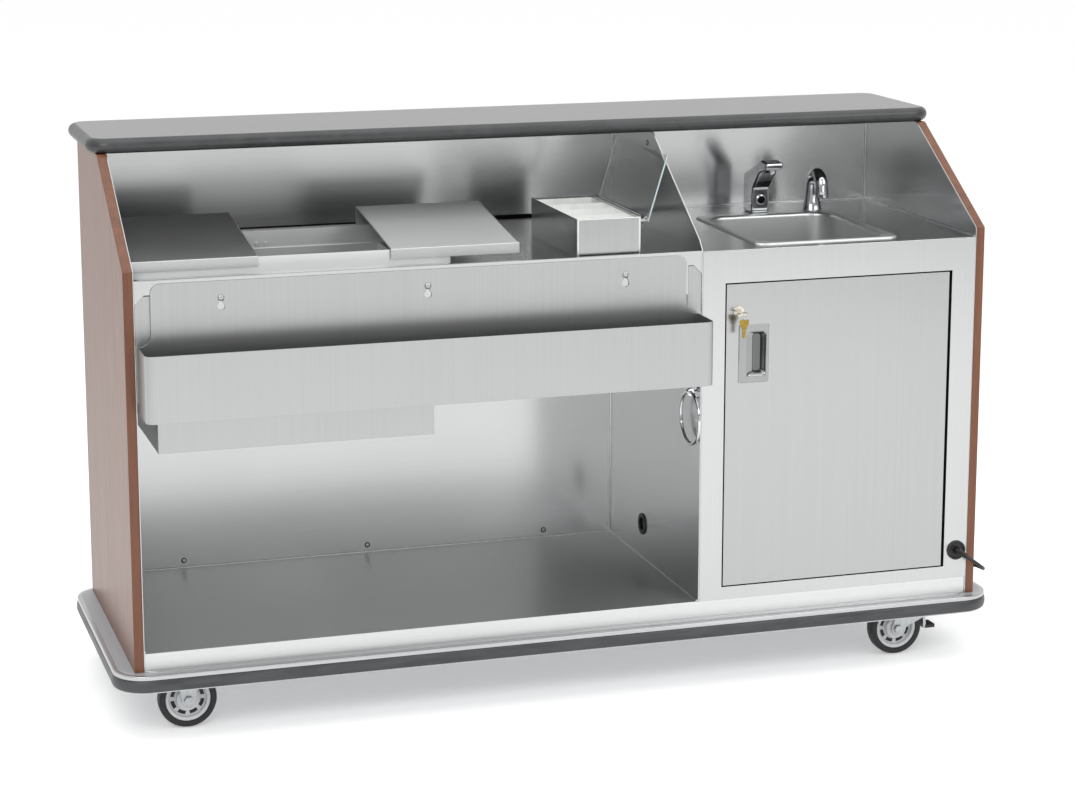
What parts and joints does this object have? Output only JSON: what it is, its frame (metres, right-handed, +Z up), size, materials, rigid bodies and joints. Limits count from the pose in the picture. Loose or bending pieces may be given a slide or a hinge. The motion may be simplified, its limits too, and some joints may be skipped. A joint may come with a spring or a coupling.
{
  "type": "mobile bar unit",
  "caption": "Wheeled back bar with a raised bar top, ice bin with sliding lids, hanging speed rail, garnish box, open storage, and a hand sink over a locking cabinet.",
  "frame": {"origin": "centre of the footprint at floor level", "axes": "+X along the bar from the ice end to the sink end, +Y from the bartender's side to the customer's side, +Z up"},
  "size_m": [1.9918, 0.809, 1.221],
  "materials": {
    "stainless": "brushed",
    "lid_steel": "brushed satin",
    "deck_steel": "satin",
    "channel": "satin",
    "bumper": "matte",
    "cherry": "satin laminate",
    "bar_laminate": "satin laminate",
    "edging": "satin",
    "chrome": "polished",
    "black_rubber": "matte",
    "black_gloss": "gloss",
    "white_plastic": "satin",
    "tank_plastic": "satin",
    "grey_tank": "satin",
    "cap_plastic": "satin",
    "pump_body": "satin",
    "hose": "satin",
    "acrylic": "clear",
    "brass": "satin",
    "zinc": "zinc plated",
    "wheel": "matte",
    "pedal": "matte",
    "cord": "matte"
  },
  "bodies": {
    "base": {"deck": "deck_steel", "bumper_channel": "channel", "bumper_strip": "bumper", "left_end_panel": "cherry", "right_end_panel": "cherry", "customer_panel": "cherry", "end_liners": "stainless", "back_liner": "stainless", "bar_top": "bar_laminate", "bar_top_edge": "edging", "divider": "stainless", "storage_floor": "stainless", "ice_fascia": "stainless", "work_top": "stainless", "ice_bin": "stainless", "bin_casing": "stainless", "lid_rail": "stainless", "studs_and_screws": "zinc", "sink_counter": "stainless", "sink_bowl": "stainless", "sink_drain": "chrome", "faucet": "chrome", "faucet_sensor": "black_gloss", "soap_spout": "chrome", "soap_bottle": "white_plastic", "cabinet_frame": "stainless", "power_grommet": "black_rubber", "wall_grommet": "black_rubber", "fresh_tank": "tank_plastic", "waste_tank": "grey_tank", "tank_caps": "cap_plastic", "pump": "pump_body", "water_hoses": "hose", "garnish_box": "stainless", "garnish_insert": "white_plastic", "towel_bracket": "chrome", "rigid_casters": "zinc", "swivel_plates": "zinc", "cord_run": "cord", "cord_coil": "cord", "cord_plug": "cord"},
    "rail": {"speed_rail": "stainless"},
    "left_lid": {"left_ice_lid": "lid_steel"},
    "right_lid": {"right_ice_lid": "lid_steel"},
    "garnish_cover": {"garnish_lid": "acrylic"},
    "cabinet_door": {"door": "stainless", "door_pull": "stainless", "lock_body": "chrome"},
    "lock_cylinder": {"lock_plug": "brass"},
    "spare_key": {"hanging_key": "brass"},
    "ring": {"towel_ring": "chrome"},
    "front_fork": {"right_front_fork": "zinc"},
    "rear_fork": {"right_rear_fork": "zinc"},
    "left_front": {"left_front_wheel": "wheel"},
    "left_rear": {"left_rear_wheel": "wheel"},
    "right_front": {"right_front_wheel": "wheel"},
    "right_rear": {"right_rear_wheel": "wheel"},
    "front_brake": {"right_front_brake": "pedal"},
    "rear_brake": {"right_rear_brake": "pedal"}
  },
  "joints": [
    {"name": "rail_lift", "type": "slide", "parent": "base", "child": "rail", "axis": [0, 0, 1], "range_m": [0, 0.018]},
    {"name": "left_lid_slide", "type": "slide", "parent": "base", "child": "left_lid", "axis": [1, 0, 0], "range_m": [0, 0.045]},
    {"name": "right_lid_slide", "type": "slide", "parent": "base", "child": "right_lid", "axis": [1, 0, 0], "range_m": [-0.234, 0]},
    {"name": "garnish_lid_hinge", "type": "hinge", "parent": "base", "child": "garnish_cover", "pos_m": [0.1655, -0.0925, 1.0455], "axis": [0, 1, 0], "range_deg": [-107, 0]},
    {"name": "door_hinge", "type": "hinge", "parent": "base", "child": "cabinet_door", "pos_m": [0.864, -0.2695, 0.559], "axis": [0, 0, 1], "range_deg": [0, 105]},
    {"name": "lock_turn", "type": "hinge", "parent": "cabinet_door", "child": "lock_cylinder", "pos_m": [0.372, -0.2785, 0.836], "axis": [0, 1, 0], "range_deg": [0, 90]},
    {"name": "spare_key_swing", "type": "hinge", "parent": "lock_cylinder", "child": "spare_key", "pos_m": [0.372, -0.3113, 0.836], "axis": [0, 1, 0], "range_deg": [-25, 25]},
    {"name": "towel_ring_swing", "type": "hinge", "parent": "base", "child": "ring", "pos_m": [0.272, -0.2535, 0.659], "axis": [0, 1, 0], "range_deg": [0, 70]},
    {"name": "right_front_swivel", "type": "hinge", "parent": "base", "child": "front_fork", "pos_m": [0.834, -0.2005, 0.12], "axis": [0, 0, 1], "continuous": true},
    {"name": "right_rear_swivel", "type": "hinge", "parent": "base", "child": "rear_fork", "pos_m": [0.834, 0.2575, 0.12], "axis": [0, 0, 1], "continuous": true},
    {"name": "right_front_roll", "type": "hinge", "parent": "front_fork", "child": "right_front", "pos_m": [0.796, -0.2005, 0.0625], "axis": [0, 1, 0], "continuous": true},
    {"name": "right_rear_roll", "type": "hinge", "parent": "rear_fork", "child": "right_rear", "pos_m": [0.796, 0.2575, 0.0625], "axis": [0, 1, 0], "continuous": true},
    {"name": "left_front_roll", "type": "hinge", "parent": "base", "child": "left_front", "pos_m": [-0.834, -0.2005, 0.0625], "axis": [0, 1, 0], "continuous": true},
    {"name": "left_rear_roll", "type": "hinge", "parent": "base", "child": "left_rear", "pos_m": [-0.834, 0.2575, 0.0625], "axis": [0, 1, 0], "continuous": true},
    {"name": "right_front_brake_press", "type": "hinge", "parent": "front_fork", "child": "front_brake", "pos_m": [0.86, -0.2005, 0.094], "axis": [0, 1, 0], "range_deg": [0, 5]},
    {"name": "right_rear_brake_press", "type": "hinge", "parent": "rear_fork", "child": "rear_brake", "pos_m": [0.86, 0.2575, 0.094], "axis": [0, 1, 0], "range_deg": [0, 5]}
  ]
}
